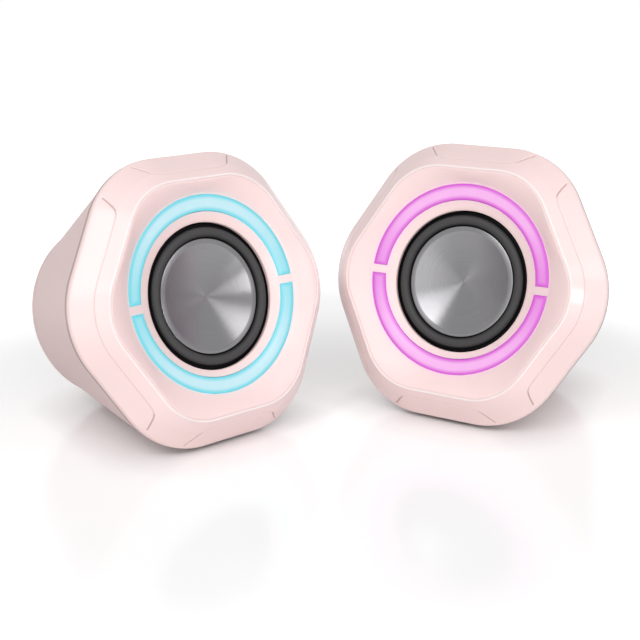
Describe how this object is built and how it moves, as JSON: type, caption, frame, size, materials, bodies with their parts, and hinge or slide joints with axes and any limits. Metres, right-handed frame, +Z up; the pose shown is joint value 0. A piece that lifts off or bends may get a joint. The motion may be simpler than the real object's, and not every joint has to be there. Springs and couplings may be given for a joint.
{
  "type": "desktop speakers",
  "caption": "Pair of small hexagonal desktop speakers with bevelled rims, dished front panels, crescent light guides and tapered rear shells.",
  "frame": {"origin": "on the table, at the centre of the pair's bounding box", "axes": "+X to the viewer's right along the pair, +Y away from the viewer, +Z up; both faces look towards -Y and are turned to the middle"},
  "size_m": [0.2544, 0.1356, 0.1126],
  "materials": {
    "pink_plastic": "satin moulded plastic",
    "shell_plastic": "satin moulded plastic",
    "cyan_guide": "lit translucent diffuser",
    "magenta_guide": "lit translucent diffuser",
    "rubber": "semi-matte rubber",
    "cone_metal": "turned metal",
    "black_metal": "black paint",
    "steel": "plated steel",
    "ferrite": "matte grey ferrite",
    "copper": "enamelled copper wire",
    "cloth": "woven, resin stiffened",
    "circuit_board": "solder mask",
    "black_plastic": "moulded plastic"
  },
  "bodies": {
    "root": {"left_rim": "pink_plastic", "left_front_panel": "pink_plastic", "left_upper_light_guide": "cyan_guide", "left_lower_light_guide": "cyan_guide", "left_light_board": "circuit_board", "left_driver_gasket": "rubber", "left_surround": "rubber", "left_spider": "cloth", "left_basket": "black_metal", "left_top_plate": "steel", "left_magnet": "ferrite", "left_yoke": "steel", "left_driver_screws": "steel", "left_case_screws": "steel", "left_rear_shell": "shell_plastic", "left_rear_panel": "shell_plastic", "left_rear_screws": "steel", "left_feet": "rubber", "left_link_jack": "black_plastic", "left_driver_lead": "rubber", "right_rim": "pink_plastic", "right_front_panel": "pink_plastic", "right_upper_light_guide": "magenta_guide", "right_lower_light_guide": "magenta_guide", "right_light_board": "circuit_board", "right_driver_gasket": "rubber", "right_surround": "rubber", "right_spider": "cloth", "right_basket": "black_metal", "right_top_plate": "steel", "right_magnet": "ferrite", "right_yoke": "steel", "right_driver_screws": "steel", "right_case_screws": "steel", "right_rear_shell": "shell_plastic", "right_rear_panel": "shell_plastic", "right_rear_screws": "steel", "right_feet": "rubber", "right_link_jack": "black_plastic", "right_driver_lead": "rubber", "amp_board": "circuit_board", "volume_pot": "steel", "button_switches": "black_plastic", "power_inlet": "steel", "aux_jack": "black_plastic"},
    "left_diaphragm": {"left_cone": "cone_metal", "left_voice_coil": "copper"},
    "right_diaphragm": {"right_cone": "cone_metal", "right_voice_coil": "copper"},
    "volume_dial": {"volume_knob": "shell_plastic", "volume_shaft": "steel"},
    "light_key": {"light_button": "black_plastic"},
    "source_key": {"source_button": "black_plastic"}
  },
  "joints": [
    {"name": "left_cone_travel", "type": "slide", "parent": "root", "child": "left_diaphragm", "axis": [0.5721, -0.776, 0.2656], "range_m": [-0.002, 0.002], "stiffness_N_per_m": 900, "deforming": ["left_surround", "left_spider"]},
    {"name": "right_cone_travel", "type": "slide", "parent": "root", "child": "right_diaphragm", "axis": [-0.5721, -0.776, 0.2656], "range_m": [-0.002, 0.002], "stiffness_N_per_m": 900, "deforming": ["right_surround", "right_spider"]},
    {"name": "volume_turn", "type": "hinge", "parent": "root", "child": "volume_dial", "pos_m": [0.10103, 0.04964, 0.04418], "axis": [-0.5721, -0.776, 0.2656], "range_deg": [-150, 150]},
    {"name": "light_press", "type": "slide", "parent": "root", "child": "light_key", "axis": [-0.5721, -0.776, 0.2656], "range_m": [0, 0.0008], "stiffness_N_per_m": 500, "springref_m": -0.001},
    {"name": "source_press", "type": "slide", "parent": "root", "child": "source_key", "axis": [-0.5721, -0.776, 0.2656], "range_m": [0, 0.0008], "stiffness_N_per_m": 500, "springref_m": -0.001}
  ]
}
